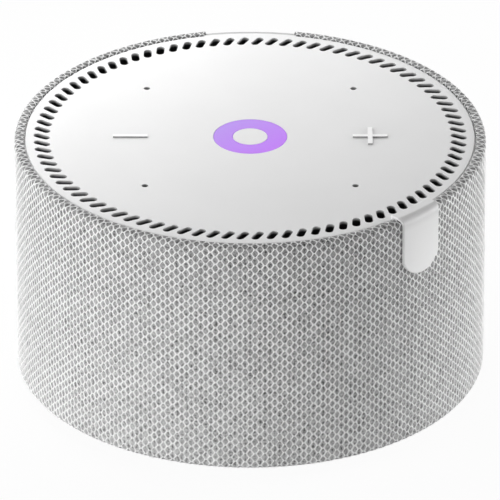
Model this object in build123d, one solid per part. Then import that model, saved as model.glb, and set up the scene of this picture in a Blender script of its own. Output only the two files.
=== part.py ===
"""Puck-shaped smart speaker with a fabric side, built as separate pieces.

Millimetres. The speaker stands on z = 0 with its axis on Z. The front faces -Y and
the power socket faces +Y.
"""

import os
from math import cos, hypot, radians, sin, sqrt

from build123d import *

# Outside sizes
body_diameter = 98.0  # over the fabric
fabric_height = 52.0  # from the lower edge of the fabric to its shoulder
foot_drop = 2.0  # how far the foot stands out below the base

# Fits between pieces
fit = 0.1  # between pieces that sit against each other on curved faces
thread_fit = 0.05  # between a screw and its pilot hole
slide_fit = 0.3  # round anything that moves

# Fabric sleeve
fabric_thickness = 0.8
fabric_top_round = 0.9
fabric_bottom_round = 1.2
fabric_top_lip = 2.1  # how far it turns inwards at the top
fabric_bottom_lip = 4.0  # how far it turns inwards at the bottom

# Top cover
cover_gap = 0.1  # between cover and fabric
cover_sink = 0.25  # cover below the fabric's shoulder
cover_thickness = 2.0
cover_edge_round = 0.3
slot_count = 90
slot_inset = 3.5  # from the cover's edge to the middle of a slot
slot_length = 3.7
slot_width = 1.7
slot_tilt = 30.0  # degrees from radial
mic_hole_diameter = 1.4
mark_inset = 10.75  # from the cover screws in to the plus and minus marks
mark_length = 7.2
mark_width = 1.0
mark_rise = 0.3
light_diameter = 15.2
light_middle_diameter = 7.2
hook_angles = (0, 55, 125, 180, 235, 285)
hook_width = 6.0
hook_thickness = 0.9
hook_length = 6.5
hook_catch = 0.45
hook_catch_height = 1.2

# Strap that rises from the cover's edge and hangs over the fabric as a tab
tab_angle = -44.8
tab_width = 10.2
tab_flare = 0.6  # extra width on each side where it leaves the cover
tab_flare_height = 2.0
tab_drop = 13.9  # from the top of the strap to its lower end
tab_end_depth = 3.7  # of the curve that closes the lower end
tab_thickness = 0.6
tab_root = 0.9  # how far it reaches in over the cover
tab_edge_round = 0.25

# Rear panel and the lip of the cover above it
rear_width = 19.2
rear_lip_height = 3.0
rear_lip_round = 1.85
panel_thickness = 2.0
panel_wing_width = 3.0
panel_wing_thickness = 1.2
panel_wing_margin = 8.0  # from the base to the wings
panel_wing_web = 1.5

# Shell under the fabric
shell_wall = 1.6
shell_flange_width = 8.5
shell_flange_thickness = 2.0
grille_slot_count = 40
grille_slot_width = 4.2
grille_slot_margin = 3.0  # from the flange and from the hooks to the slots

# Base and foot
base_thickness = 4.0
foot_inset = 5.5  # from the fabric to the foot
foot_width = 13.5
foot_sunk = 1.0  # depth of the groove that holds the foot

# Screws, all of one kind
screw_radius = 0.95
screw_head_radius = 1.8
screw_head_height = 1.2
screw_way = 0.15  # clearance of a screw in a hole that it passes through
boss_radius = 3.0
base_screw_inset = 5.5  # from the inside of the shell
base_screw_length = 7.0

# Sealed chamber behind the driver
chamber_inset = 10.5  # from the inside of the shell
chamber_flat_inset = 5.0  # of the flat rear wall from the round one
chamber_wall = 1.8
chamber_floor = 2.0
chamber_depth = 26.0
chamber_seal_thickness = 0.6
baffle_thickness = 2.4
chamber_screw_inset = 3.6
chamber_screw_angles = (0, 180, 240, 300)
chamber_rear_screw_x = 17.0
chamber_rear_screw_inset = 4.4  # from the flat rear wall
chamber_screw_length = 7.0

# Driver
driver_flange_inset = 3.4  # from the chamber's screws
driver_flange_width = 4.6
driver_gasket_thickness = 0.6
basket_sheet = 1.2
basket_depth = 14.0
basket_gap = 0.4  # between the basket and the hole of the baffle
basket_collar = 2.5  # ring of the basket round the yoke
basket_seat_width = 2.7  # ledge under the edge of the spider
basket_step = 3.8  # from the yoke to that ledge
basket_window_width = 10.0
basket_window_start = 30.0  # degrees
yoke_inset = 9.4  # from the hole of the baffle
yoke_wall = 2.8
yoke_floor = 3.0
magnet_inset = 0.4  # from the edge of the pole plate
magnet_height = 5.6
coil_gap = 1.8  # between pole plate and yoke
pole_plate_height = 3.2
coil_clearance = 0.4
coil_former_thickness = 0.15
coil_winding_thickness = 0.7
coil_winding_height = 4.0
coil_former_height = 9.3
cone_thickness = 0.35
cone_collar = 1.2  # height of the cone's neck on the coil
cone_edge = 1.6  # flat edge under the surround
dust_cap_rise = 3.0
surround_thickness = 0.4
surround_roll = 1.7
surround_span = 2.2  # between the cone and the flange
surround_lip = 2.2  # flat edge on the flange
spider_thickness = 0.4
spider_edge = 1.6
spider_waves = 3
spider_wave_height = 0.7
driver_screw_inset = 2.0  # from the edge of the flange
driver_screw_length = 3.6
terminal_width = 9.0
terminal_reach = 4.5
terminal_thickness = 1.6
lead_radius = 0.6
lead_spacing = 5.0

# Top electronics
touch_board_inset = 5.15  # from the middle of the slots
touch_board_thickness = 1.6
touch_board_gap = 2.5  # from the board to the cover
touch_pad_radius = 4.0
frame_width = 4.7
frame_height = 2.4
cover_screw_inset = 2.5  # from the edge of the touch board
cover_screw_angles = (0, 62, 118, 180, 242, 298)
cover_boss_radius = 2.4
cover_screw_length = 7.0
mic_length = 3.5
mic_width = 2.65
mic_height = 1.0
mic_inset = 2.83  # from the frame in to a microphone
gasket_radius = 2.2
led_count = 8
led_size = 1.6
led_height = 0.7
led_circle = 5.8
led_start = 22.5  # degrees
window_flange_radius = 9.5
window_flange_thickness = 1.0
well_wall = 0.9
scrim_thickness = 0.3

# Main board, with rises given from its lower edge
board_clear = 1.0  # from the shell's flange and wall to the board
board_top_clear = 3.0  # from the board to the top frame
board_thickness = 1.6
board_gap = 4.0  # from the chamber to the board
board_screw_x = 15.0
board_screw_rises = (2.5, 20.5)
board_screw_length = 5.0
board_post_radius = 2.4
shield_inset = 11.8  # from the end of the board to the middle of the can
shield_rise = 11.5
shield_width = 14.4
shield_length = 11.0
shield_height = 1.8
shield_sheet = 0.3
thermal_pad_thickness = 0.8
spreader_thickness = 1.0
chip_height = 1.1
processor_side = 9.0
rear_chips = ((12.0, 12.5, 6.0), (20.0, 12.0, 5.0))  # across, up, side
front_chips = ((12.0, 11.0, 4.0), (-12.0, 11.5, 5.0))
capacitor_places = ((-20.5, 3.5), (20.5, 3.5))  # across, up
capacitor_radius = 2.0
capacitor_height = 2.4
header_width = 9.0
header_depth = 2.8
header_height = 3.2
antenna_inset = 3.0  # from the end of the board
antenna_length = 10.0
antenna_width = 2.6
antenna_sheet = 0.3
antenna_height = 2.3

# Power socket
socket_rise = 5.0  # above the lower edge of the main board
socket_width = 8.94
socket_height = 3.26
socket_sheet = 0.35
plug_recess_depth = 4.5  # from the body's radius in to the socket
tongue_width = 6.6
tongue_thickness = 0.7
tongue_back = 1.4
plug_opening_width = 13.0
plug_opening_height = 7.2

# Microphone switch on the rear panel
switch_drop = 7.0  # below the upper edge of the main board
switch_travel = 2.0
switch_width = 10.0
switch_height = 4.4
switch_depth = 4.4
knob_length = 6.0
knob_height = 3.0
knob_sink = 0.15  # knob face inside the body's radius
knob_flange_length = 11.0
knob_flange_height = 5.4
knob_flange_thickness = 0.8
knob_pin = 1.8
knob_pin_depth = 2.5  # in the switch
knob_dish_length = 13.0
knob_dish_height = 6.4
knob_dish_depth = 1.0

# Ribbon between the boards
ribbon_width = 10.0
ribbon_thickness = 0.3
ribbon_bend = 1.5
ribbon_reach = 5.0  # forwards under the touch board
ribbon_drop = 3.7  # from the top of the main board to the end of the ribbon
plug_length = 12.0  # of a ribbon connector
plug_depth = 1.8
plug_height = 3.0
plug_hold = 1.0  # of connector past the end of the ribbon

# Levels worked out from the sizes above
body_radius = body_diameter / 2
base_under = foot_drop
base_top = base_under + base_thickness
shoulder = base_under + fabric_height
cover_top = shoulder - cover_sink
cover_under = cover_top - cover_thickness
fabric_inside = body_radius - fabric_thickness
cover_radius = body_radius - fabric_top_lip - cover_gap
slot_circle = cover_radius - slot_inset
shell_radius = fabric_inside - fit
shell_inside = shell_radius - shell_wall
shell_low = base_under + fabric_thickness + fit
foot_outside = body_radius - foot_inset
foot_inside = foot_outside - foot_width
base_screw_circle = shell_inside - base_screw_inset
chamber_radius = shell_inside - chamber_inset
chamber_flat = chamber_radius - chamber_flat_inset
chamber_screw_circle = chamber_radius - chamber_screw_inset
driver_flange_radius = chamber_screw_circle - driver_flange_inset
driver_hole_radius = driver_flange_radius - driver_flange_width
driver_screw_circle = driver_flange_radius - driver_screw_inset
yoke_radius = driver_hole_radius - yoke_inset
touch_board_radius = slot_circle - touch_board_inset
frame_inner_radius = touch_board_radius - frame_width
cover_screw_circle = touch_board_radius - cover_screw_inset
mic_circle = frame_inner_radius - mic_inset
mark_offset = cover_screw_circle - mark_inset
flange_top = base_top + shell_flange_thickness
hook_radius = shell_inside - fit
hook_low = cover_under - hook_length
tab_inside = body_radius + fit
tab_outside = tab_inside + tab_thickness
tab_top = shoulder + fit + tab_thickness
rear_half = rear_width / 2
rear_lip_under = cover_top - rear_lip_height
panel_inside = body_radius - panel_thickness
foot_top = base_under + foot_sunk
chamber_low = base_top
chamber_top = chamber_low + chamber_depth
baffle_under = chamber_top + chamber_seal_thickness
baffle_top = baffle_under + baffle_thickness
flange_under = baffle_top + driver_gasket_thickness
flange_face = flange_under + basket_sheet
yoke_top = flange_face - basket_depth
yoke_inside = yoke_radius - yoke_wall
pole_plate_radius = yoke_inside - coil_gap
magnet_radius = pole_plate_radius - magnet_inset
plate_low = yoke_top - pole_plate_height
magnet_low = plate_low - magnet_height
yoke_low = magnet_low - yoke_floor
basket_throat = yoke_radius + basket_collar
basket_seat = basket_throat + basket_seat_width
basket_rim = driver_hole_radius - basket_gap
basket_inside = basket_rim - basket_sheet - fit
cone_outer_radius = basket_inside - surround_span
former_inside = pole_plate_radius + coil_clearance
former_outside = former_inside + coil_former_thickness
winding_low = yoke_top - (pole_plate_height + coil_winding_height) / 2
former_top = winding_low + coil_former_height
spider_seat = yoke_top + basket_step
touch_board_top = cover_under - touch_board_gap
touch_board_under = touch_board_top - touch_board_thickness
frame_under = touch_board_under - frame_height
window_under = cover_under - window_flange_thickness
board_front = chamber_flat + board_gap
board_back = board_front + board_thickness
board_low = flange_top + board_clear
board_high = frame_under - board_top_clear
board_half = sqrt((shell_inside - board_clear) ** 2 - board_back**2)
shield_x = shield_inset - board_half
socket_z = board_low + socket_rise
switch_z = board_high - switch_drop
panel_wing_low = base_under + panel_wing_margin
panel_wing_high = rear_lip_under - panel_wing_web
lead_z = yoke_top + terminal_thickness + lead_radius
socket_mouth = body_radius - plug_recess_depth
switch_front = board_back + switch_depth
knob_rest = -switch_travel / 2
knob_flange_front = panel_inside - 2.5 * slide_fit
ribbon_y = board_front - plug_depth / 2
ribbon_low = board_high - ribbon_drop
ribbon_end = ribbon_y - ribbon_reach
ribbon_high = touch_board_under - plug_depth / 2


def disc(radius, low, high):
    """Upright cylinder on the axis between two levels."""
    return Pos(0, 0, (low + high) / 2) * Cylinder(radius, high - low)


def ring(outer, inner, low, high):
    """Upright tube on the axis between two levels."""
    return disc(outer, low, high) - disc(inner, low - 1, high + 1)


def block(x, y, z):
    """Box between two values on each axis."""
    middle = [(pair[0] + pair[1]) / 2 for pair in (x, y, z)]
    size = [pair[1] - pair[0] for pair in (x, y, z)]
    return Pos(*middle) * Box(*size)


def turned(points):
    """Solid turned about Z from a closed outline of radius and level pairs."""
    outline = make_face(Polyline(*points, close=True))
    return revolve(Plane.XZ * outline, Axis.Z)


def around(shape, angles):
    """Copies of a shape turned about Z."""
    return [Rot(0, 0, angle) * shape for angle in angles]


def even(count, start=0.0):
    """Evenly spaced angles round a full turn."""
    return [start + 360 * step / count for step in range(count)]


def rod(start, radius, length, direction):
    """Round rod that starts at a point and runs along an axis direction."""
    plane = Plane(origin=start, z_dir=direction)
    return plane * Pos(0, 0, length / 2) * Cylinder(radius, length)


def screw(start, direction, length):
    """Flat-headed screw. It starts under its head and runs along a direction."""
    back = tuple(-part for part in direction)
    head = rod(start, screw_head_radius, screw_head_height, back)
    cross = Plane(origin=start, z_dir=back) * Pos(0, 0, screw_head_height)
    bar = Box(screw_head_radius * 1.2, 0.5, 1.0)
    head = head - [cross * bar, cross * Rot(0, 0, 90) * bar]
    return head + rod(start, screw_radius, length, direction)


def way(start, direction, length):
    """Hole that a screw passes through."""
    return rod(start, screw_radius + screw_way, length, direction)


def pilot(start, direction, length):
    """Hole that a screw bites into."""
    return rod(start, screw_radius + thread_fit, length, direction)


def at_circle(radius, angle, level):
    """Point on a circle round the axis."""
    return (radius * cos(radians(angle)), radius * sin(radians(angle)), level)


def rear_stadium(length, height, x, z, y):
    """Stadium-ended prism along Y, used for openings in the rear panel."""
    outline = SlotOverall(length, height)
    plane = Plane(origin=(x, y[0], z), x_dir=(-1, 0, 0), z_dir=(0, 1, 0))
    return extrude(plane * outline, y[1] - y[0])


def rear_window(half, low, high):
    """Block that clears a width at the rear through every outer piece."""
    return block((-half, half), (body_radius * 0.7, body_radius + 1), (low, high))


def tab_outline():
    """Outline of the tab seen from outside, its upper edge level with the top of the strap."""
    half = tab_width / 2
    wide = half + tab_flare
    end = tab_end_depth - tab_drop
    neck = -tab_flare_height
    edges = [Line((wide, 0), (-wide, 0)), ThreePointArc((-half, end), (0, -tab_drop), (half, end))]
    for side in (-half, half):
        edges.append(Line((side, end), (side, neck)))
        edges.append(TangentArc((side, neck), (side * wide / half, 0), tangent=(0, 1)))
    return make_face(edges)


def tab_prism(low, high):
    """The tab's outline carried outwards between two radii."""
    out = (cos(radians(tab_angle)), sin(radians(tab_angle)), 0)
    side = (-out[1], out[0], 0)
    start = (out[0] * low, out[1] * low, tab_top)
    plane = Plane(origin=start, x_dir=side, z_dir=out)
    return extrude(plane * tab_outline(), high - low)


def on_tab_rim(edge):
    """Whether an edge lies on the tab's outside face, apart from the smooth seam along its fold."""
    middle = edge.center()
    outside = abs(hypot(middle.X, middle.Y) - tab_outside) < 0.05
    return outside and edge.geom_type != GeomType.CIRCLE


def cover_tab():
    """Strap that stands on the cover's edge, passes over the fabric's shoulder and hangs outside it."""
    start = cover_radius - tab_root
    low = tab_top - tab_drop - 1
    over = fabric_top_round + fit
    strap = disc(tab_outside, low, tab_top)
    strap = fillet(strap.edges().group_by(Axis.Z)[-1], over + tab_thickness)
    strap = strap - disc(start, low - 1, tab_top + 1)
    inner_edge = strap.edges().group_by(Axis.Z)[-1].sort_by(SortBy.LENGTH)[:1]
    strap = fillet(inner_edge, tab_thickness)
    room = disc(tab_inside, low - 1, shoulder + fit)
    room = fillet(room.edges().group_by(Axis.Z)[-1], over)
    room = room - disc(cover_radius, cover_under, tab_top + 1)
    tab = (strap - room) & tab_prism(start - 2, tab_outside + 2)
    rim = [edge for edge in tab.edges() if on_tab_rim(edge)]
    return fillet(rim, tab_edge_round)


def make_top_cover():
    """Slotted disc with touch marks, tab, rear lip, snap hooks and screw bosses."""
    plate = disc(cover_radius, cover_under, cover_top)
    plate = fillet(plate.edges().group_by(Axis.Z)[-1], cover_edge_round)

    lip = disc(body_radius, rear_lip_under, cover_top)
    lip = fillet(lip.edges().group_by(Axis.Z)[-1], rear_lip_round)
    lip = lip - disc(cover_radius - 1, rear_lip_under - 1, cover_top + 1)
    lip = lip & rear_window(rear_half, rear_lip_under - 1, cover_top + 1)
    plate = plate + [lip, cover_tab()]

    back = hook_radius - hook_thickness
    arm = ring(hook_radius, back, hook_low, cover_under)
    catch = ring(hook_radius + hook_catch, back, hook_low, hook_low + hook_catch_height)
    hook = (arm + catch) & block((0, body_radius), (-hook_width / 2, hook_width / 2), (0, cover_top))
    boss = Pos(*at_circle(cover_screw_circle, 0, 0)) * disc(cover_boss_radius, touch_board_top, cover_under)
    plate = plate + around(hook, hook_angles) + around(boss, cover_screw_angles)

    marks = [bar for side in (-1, 1) for bar in mark_bars(side)]
    plate = plate + marks

    slot = extrude(SlotOverall(slot_length, slot_width), cover_thickness + 2)
    slot = Pos(slot_circle, 0, cover_under - 1) * Rot(0, 0, -slot_tilt) * slot
    holes = around(slot, even(slot_count))
    holes += [
        Pos(x, y, 0) * disc(mic_hole_diameter / 2, cover_under - 1, cover_top + 1)
        for x, y in mic_places()
    ]
    holes.append(disc(light_diameter / 2 + fit, cover_under - 1, cover_top + 1))
    depth = cover_screw_length - frame_height - touch_board_thickness + 0.3
    start = at_circle(cover_screw_circle, 0, touch_board_top)
    holes += around(pilot(start, (0, 0, 1), depth), cover_screw_angles)
    return plate - holes


def mark_bars(side):
    """Raised bars of a touch mark: one on the left, two crossed on the right."""
    level = (cover_top - 0.2, cover_top + mark_rise)
    centre = side * mark_offset
    half = mark_length / 2
    thin = mark_width / 2
    bars = [block((centre - half, centre + half), (-thin, thin), level)]
    if side > 0:
        bars.append(block((centre - thin, centre + thin), (-half, half), level))
    return bars


def mic_places():
    """Middles of the four microphone holes."""
    return [at_circle(mic_circle, angle, 0)[:2] for angle in even(4, 45)]


def make_light_window():
    """Clear ring that shows in the cover, on a flange under it."""
    flange = ring(window_flange_radius, light_middle_diameter / 4, window_under, cover_under)
    return flange + ring(light_diameter / 2, light_middle_diameter / 2 + fit, cover_under, cover_top)


def make_centre_cap():
    """Round cap in the middle of the light, with a stem through the flange."""
    cap = disc(light_middle_diameter / 2, cover_under, cover_top)
    return cap + disc(light_middle_diameter / 4 - fit, window_under, cover_under)


def make_slot_scrim():
    """Black dust cloth stuck under the slots."""
    reach = slot_length / 2 + 0.1
    low = cover_under - scrim_thickness
    outer = min(slot_circle + reach, hook_radius - hook_thickness)
    return ring(outer, slot_circle - reach, low, cover_under)


def make_fabric_sleeve():
    """Fabric tube turned in at both ends, open behind for the rear panel."""
    outer = disc(body_radius, base_under, shoulder)
    outer = fillet(outer.edges().group_by(Axis.Z)[-1], fabric_top_round)
    outer = fillet(outer.edges().group_by(Axis.Z)[0], fabric_bottom_round)
    inside = disc(fabric_inside, base_under + fabric_thickness, shoulder - fabric_thickness)
    inner_round = fabric_bottom_round - fabric_thickness
    inside = fillet(inside.edges().group_by(Axis.Z)[0], inner_round)
    openings = [
        inside,
        disc(body_radius - fabric_top_lip, shoulder - 2, shoulder + 1),
        disc(body_radius - fabric_bottom_lip, base_under - 1, base_under + 2),
        rear_window(rear_half + fit, base_under - 1, shoulder + 1),
    ]
    return outer - openings


def make_grille_shell():
    """Slotted tube under the fabric with an inner flange and screw bosses."""
    wall = disc(shell_radius, shell_low, cover_under)
    low_round = fabric_bottom_round - fabric_thickness
    wall = fillet(wall.edges().group_by(Axis.Z)[0], low_round)
    wall = wall - disc(shell_inside, shell_low - 1, cover_under + 1)
    upstand_inside = body_radius - fabric_top_lip + fit
    upstand = ring(shell_radius, upstand_inside, cover_under, shoulder - fabric_thickness - fit)
    flange = ring(shell_inside, shell_inside - shell_flange_width, base_top, flange_top)
    boss_top = base_top + base_screw_length
    boss = Pos(*at_circle(base_screw_circle, 0, 0)) * disc(boss_radius, base_top, boss_top)
    shell = wall + [upstand, flange] + around(boss, even(4, 45))

    half = grille_slot_width / 2
    level = (flange_top + grille_slot_margin, hook_low - grille_slot_margin)
    slot = block((shell_inside - 1, shell_radius + 1), (-half, half), level)
    rear_reach = rear_half + panel_wing_width + half
    turns = [a for a in even(grille_slot_count) if not near_rear(a, rear_reach)]
    half = hook_width / 2 + slide_fit
    high = hook_low + hook_catch_height + fit
    catch = block((shell_inside - 0.5, shell_radius + 1), (-half, half), (hook_low - 1, high))
    openings = around(slot, turns) + around(catch, hook_angles)
    openings.append(rear_window(rear_half + fit, flange_top, shoulder + 1))
    openings.append(
        rear_window(rear_half + fit, shell_low - 1, flange_top) - disc(shell_inside, 0, shoulder)
    )
    start = at_circle(base_screw_circle, 0, base_top - 1)
    openings += around(pilot(start, (0, 0, 1), base_screw_length + 0.5), even(4, 45))
    return shell - openings


def near_rear(angle, reach):
    """True where a turned slot would meet the rear panel."""
    return sin(radians(angle)) > 0 and abs(shell_radius * cos(radians(angle))) < reach


def make_rear_panel():
    """Upright panel with the plug opening and the switch slot, held by two wings."""
    plate = disc(body_radius, base_under, rear_lip_under - fit)
    plate = fillet(plate.edges().group_by(Axis.Z)[0], fabric_bottom_round)
    plate = plate - disc(panel_inside, base_under + fabric_thickness, shoulder)
    plate = plate - disc(body_radius - fabric_bottom_lip, base_under - 1, shoulder)
    plate = plate & rear_window(rear_half, base_under - 1, shoulder)

    back = shell_inside - fit
    reach = rear_half + panel_wing_width
    web = rear_half - panel_wing_web
    band = ring(back, back - panel_wing_thickness, panel_wing_low, panel_wing_high)
    wings = band & (rear_window(reach, 0, shoulder) - rear_window(web, -1, shoulder + 1))
    webs = ring(panel_inside + 0.5, back - panel_wing_thickness, panel_wing_low, panel_wing_high)
    webs = webs & (rear_window(rear_half, 0, shoulder) - rear_window(web, -1, shoulder + 1))
    panel = plate + wings.solids() + webs.solids()

    deep = (panel_inside - 3, body_radius + 1)
    dish = (body_radius - knob_dish_depth, body_radius + 1)
    slot_length_now = knob_length + switch_travel + 2 * slide_fit
    openings = [
        rear_stadium(plug_opening_width, plug_opening_height, 0, socket_z, deep),
        rear_stadium(knob_dish_length, knob_dish_height, 0, switch_z, dish),
        rear_stadium(slot_length_now, knob_height + 2 * slide_fit, 0, switch_z, deep),
    ]
    return panel - openings


def make_base_plate():
    """Bottom plate with the foot's groove and recessed screw holes."""
    low_radius = body_radius - fabric_bottom_lip - 2 * fit
    plate = disc(low_radius, base_under, shell_low) + disc(shell_inside - 2 * fit, shell_low, base_top)
    behind = rear_window(rear_half + fit, shell_low, base_top + 1)
    plate = plate - (behind - disc(panel_inside - fit, 0, base_top + 2))
    groove = ring(foot_outside + fit, foot_inside - fit, base_under - 1, foot_top)
    holes = [groove]
    places = [(base_screw_circle, angle) for angle in even(4, 45)]
    places += [(chamber_screw_circle, angle) for angle in chamber_screw_angles]
    for radius, angle in places:
        start = at_circle(radius, angle, foot_top - 1)
        holes.append(way(start, (0, 0, 1), base_thickness + 2))
        holes.append(rod(start, screw_head_radius + fit, 1 + screw_head_height + fit, (0, 0, 1)))
    return plate - holes


def make_rubber_foot():
    """Ring that the speaker stands on."""
    foot = ring(foot_outside, foot_inside, 0, foot_top)
    return fillet(foot.edges().group_by(Axis.Z)[0], 0.5)


def under_screws(circle, angles, length):
    """Screws that come up through the base from under the foot."""
    start = at_circle(circle, 0, foot_top + screw_head_height + fit)
    return around(screw(start, (0, 0, 1), length), angles)


def chamber_outline(inset, low, high):
    """Round chamber shape with a flat rear, set in by an amount."""
    body = disc(chamber_radius - inset, low, high)
    wide = chamber_radius + 1
    return body & block((-wide, wide), (-wide, chamber_flat - inset), (low, high))


def chamber_bosses():
    """Middles of the screw bosses of the chamber."""
    places = [at_circle(chamber_screw_circle, angle, 0)[:2] for angle in chamber_screw_angles]
    y = chamber_flat - chamber_rear_screw_inset
    return places + [(side * chamber_rear_screw_x, y) for side in (-1, 1)]


def board_screw_places():
    """Middles of the main board's screws, across and up."""
    return [(x, board_low + rise) for x in (-board_screw_x, board_screw_x) for rise in board_screw_rises]


def make_chamber_cup():
    """Open cup behind the driver with screw bosses and board posts."""
    cup = chamber_outline(0, chamber_low, chamber_top)
    cup = cup - chamber_outline(chamber_wall, chamber_low + chamber_floor, chamber_top + 1)
    bosses = [
        Pos(x, y, 0) * disc(boss_radius, chamber_low, chamber_top)
        for x, y in chamber_bosses()
    ]
    posts = [
        rod((x, chamber_flat - 0.5, z), board_post_radius, board_gap + 0.5, (0, 1, 0))
        for x, z in board_screw_places()
    ]
    cup = cup + bosses + posts
    deep = chamber_screw_length + 0.5
    holes = [pilot((x, y, chamber_top), (0, 0, -1), deep) for x, y in chamber_bosses()]
    for angle in chamber_screw_angles:
        holes.append(pilot(at_circle(chamber_screw_circle, angle, chamber_low), (0, 0, 1), deep))
    for x, z in board_screw_places():
        holes.append(pilot((x, board_front, z), (0, -1, 0), board_gap - 0.2))
    holes.append(lead_plug_block(fit))
    return cup - holes


def make_chamber_seal():
    """Foam seal between cup and baffle."""
    seal = chamber_outline(0, chamber_top, baffle_under)
    seal = seal - chamber_outline(chamber_wall, chamber_top - 1, baffle_under + 1)
    deep = chamber_seal_thickness + 2
    return seal - [way((x, y, chamber_top - 1), (0, 0, 1), deep) for x, y in chamber_bosses()]


def make_baffle():
    """Lid of the chamber that carries the driver."""
    lid = chamber_outline(0, baffle_under, baffle_top)
    holes = [disc(driver_hole_radius, baffle_under - 1, baffle_top + 1)]
    holes += [way((x, y, baffle_under - 1), (0, 0, 1), baffle_thickness + 2) for x, y in chamber_bosses()]
    start = at_circle(driver_screw_circle, 0, baffle_top)
    depth = driver_screw_length - driver_gasket_thickness - basket_sheet + 0.2
    holes += around(pilot(start, (0, 0, -1), depth), even(4, 45))
    return lid - holes


def make_baffle_screws():
    """Screws that hold the baffle on the cup."""
    return [screw((x, y, baffle_top), (0, 0, -1), chamber_screw_length) for x, y in chamber_bosses()]


def driver_ways(shape):
    """Cuts the driver's four screw holes through a ring."""
    start = at_circle(driver_screw_circle, 0, baffle_top - 1)
    return shape - around(way(start, (0, 0, 1), 5), even(4, 45))


def make_driver_gasket():
    """Foam ring under the driver's flange."""
    return driver_ways(ring(driver_flange_radius, driver_hole_radius, baffle_top, flange_under))


def make_driver_basket():
    """Pressed steel basket from the yoke up to the flange, with six windows."""
    sheet = basket_sheet
    step = spider_seat - sheet
    points = [
        (yoke_inside, yoke_top),
        (basket_throat, yoke_top),
        (basket_throat, step),
        (basket_seat, step),
        (basket_rim, flange_under - sheet),
        (basket_rim, flange_under),
        (driver_flange_radius, flange_under),
        (driver_flange_radius, flange_face),
        (basket_inside, flange_face),
        (basket_inside, flange_face - 1.5 * sheet),
        (basket_seat - sheet, spider_seat),
        (basket_throat - sheet, spider_seat),
        (basket_throat - sheet, yoke_top + sheet),
        (yoke_inside, yoke_top + sheet),
    ]
    basket = turned(points)
    half = basket_window_width / 2
    level = (spider_seat + sheet, flange_under - 2 * sheet)
    window = block((basket_throat + sheet, driver_hole_radius + 1), (-half, half), level)
    return driver_ways(basket - around(window, even(6, basket_window_start)))


def make_driver_yoke():
    """Steel cup that closes the magnet's field."""
    cup = disc(yoke_radius, yoke_low, yoke_top)
    return cup - disc(yoke_inside, yoke_low + yoke_floor, yoke_top + 1)


def make_voice_coil():
    """Paper former with the winding on it."""
    former = ring(former_outside, former_inside, winding_low, former_top)
    outer = former_outside + coil_winding_thickness
    winding = ring(outer, former_inside, winding_low, winding_low + coil_winding_height)
    return former + winding


def make_driver_cone():
    """Paper cone from the former up to the inner edge of the surround."""
    neck = former_outside + fit / 2
    edge = cone_outer_radius
    low = former_top - cone_collar
    high = flange_face - surround_thickness
    thick = cone_thickness
    points = [
        (neck, low),
        (neck + thick, low),
        (edge - cone_edge, high - thick),
        (edge, high - thick),
        (edge, high),
        (edge - cone_edge - thick / 2, high),
        (neck, low + 2 * thick),
    ]
    return turned(points)


def make_dust_cap():
    """Shallow dome over the voice coil, cut from a hollow ball."""
    low = former_top + thread_fit
    reach = former_outside
    ball = (reach**2 + dust_cap_rise**2) / (2 * dust_cap_rise)
    shell = Sphere(ball) - Sphere(ball - cone_thickness)
    return Pos(0, 0, low + dust_cap_rise - ball) * shell & disc(ball, low, low + dust_cap_rise + 1)


def make_driver_surround():
    """Rubber half roll from the cone's edge to the basket's flange."""
    low = flange_face
    thick = surround_thickness
    high = low + thick
    edge = cone_outer_radius
    inner = edge - cone_edge
    outer = basket_inside + surround_lip
    middle = (edge + basket_inside) / 2
    wide = surround_roll
    narrow = wide - thick
    top = ThreePointArc((middle - wide, high), (middle, high + wide), (middle + wide, high))
    under = ThreePointArc((middle - narrow, low), (middle, high + narrow), (middle + narrow, low))
    right = Polyline((middle + wide, high), (outer, high), (outer, low), (middle + narrow, low))
    left = Polyline(
        (middle - narrow, low),
        (edge, low),
        (edge, low - thick),
        (inner, low - thick),
        (inner, high),
        (middle - wide, high),
    )
    return revolve(Plane.XZ * make_face([top, right, under, left]), Axis.Z)


def make_driver_spider():
    """Corrugated disc that centres the voice coil."""
    inner = former_outside + fit / 2
    outer = basket_throat + 1.0
    start = inner + spider_edge / 2
    wave = (outer - spider_edge - start) / (2 * spider_waves)
    lower = [(inner, 0), (start, 0)]
    for step in range(2 * spider_waves):
        rise = spider_wave_height if step % 2 == 0 else 0
        lower.append((start + wave * (step + 1), rise))
    lower.append((outer, 0))
    upper = [(radius, level + spider_thickness) for radius, level in reversed(lower)]
    points = [(radius, spider_seat + level) for radius, level in lower + upper]
    return turned(points)


def make_driver_screws():
    """Screws through the driver's flange."""
    start = at_circle(driver_screw_circle, 0, flange_face)
    return around(screw(start, (0, 0, -1), driver_screw_length), even(4, 45))


def make_driver_terminal():
    """Fibre tag on the basket that the leads are soldered to."""
    seat = basket_throat + fit / 2
    half = terminal_width / 2
    tag = block((-half, half), (0, seat + terminal_reach), (yoke_top, yoke_top + terminal_thickness))
    return tag - disc(seat, yoke_top - 1, yoke_top + 5)


def lead_ends():
    """Where the leads start on the driver and end in the header."""
    start = basket_seat + slide_fit
    end = board_front - header_depth / 2
    return start, end


def make_speaker_leads():
    """Two insulated leads from the driver's tag to the main board."""
    start, end = lead_ends()
    return [
        rod((side * lead_spacing / 2, start, lead_z), lead_radius, end - start, (0, 1, 0))
        for side in (-1, 1)
    ]


def lead_plug_block(grow):
    """Block shape of the grommet in the rear wall of the chamber."""
    half = lead_spacing / 2 + 2.0 + grow
    tall = lead_radius + 1.2 + grow
    wall = (chamber_flat - chamber_wall - grow, chamber_flat + grow)
    return block((-half, half), wall, (lead_z - tall, lead_z + tall))


def make_lead_grommet():
    """Rubber block that seals the leads in the wall of the chamber."""
    start, end = lead_ends()
    holes = [
        rod((side * lead_spacing / 2, start, lead_z), lead_radius + thread_fit, end - start, (0, 1, 0))
        for side in (-1, 1)
    ]
    return lead_plug_block(0) - holes


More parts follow.
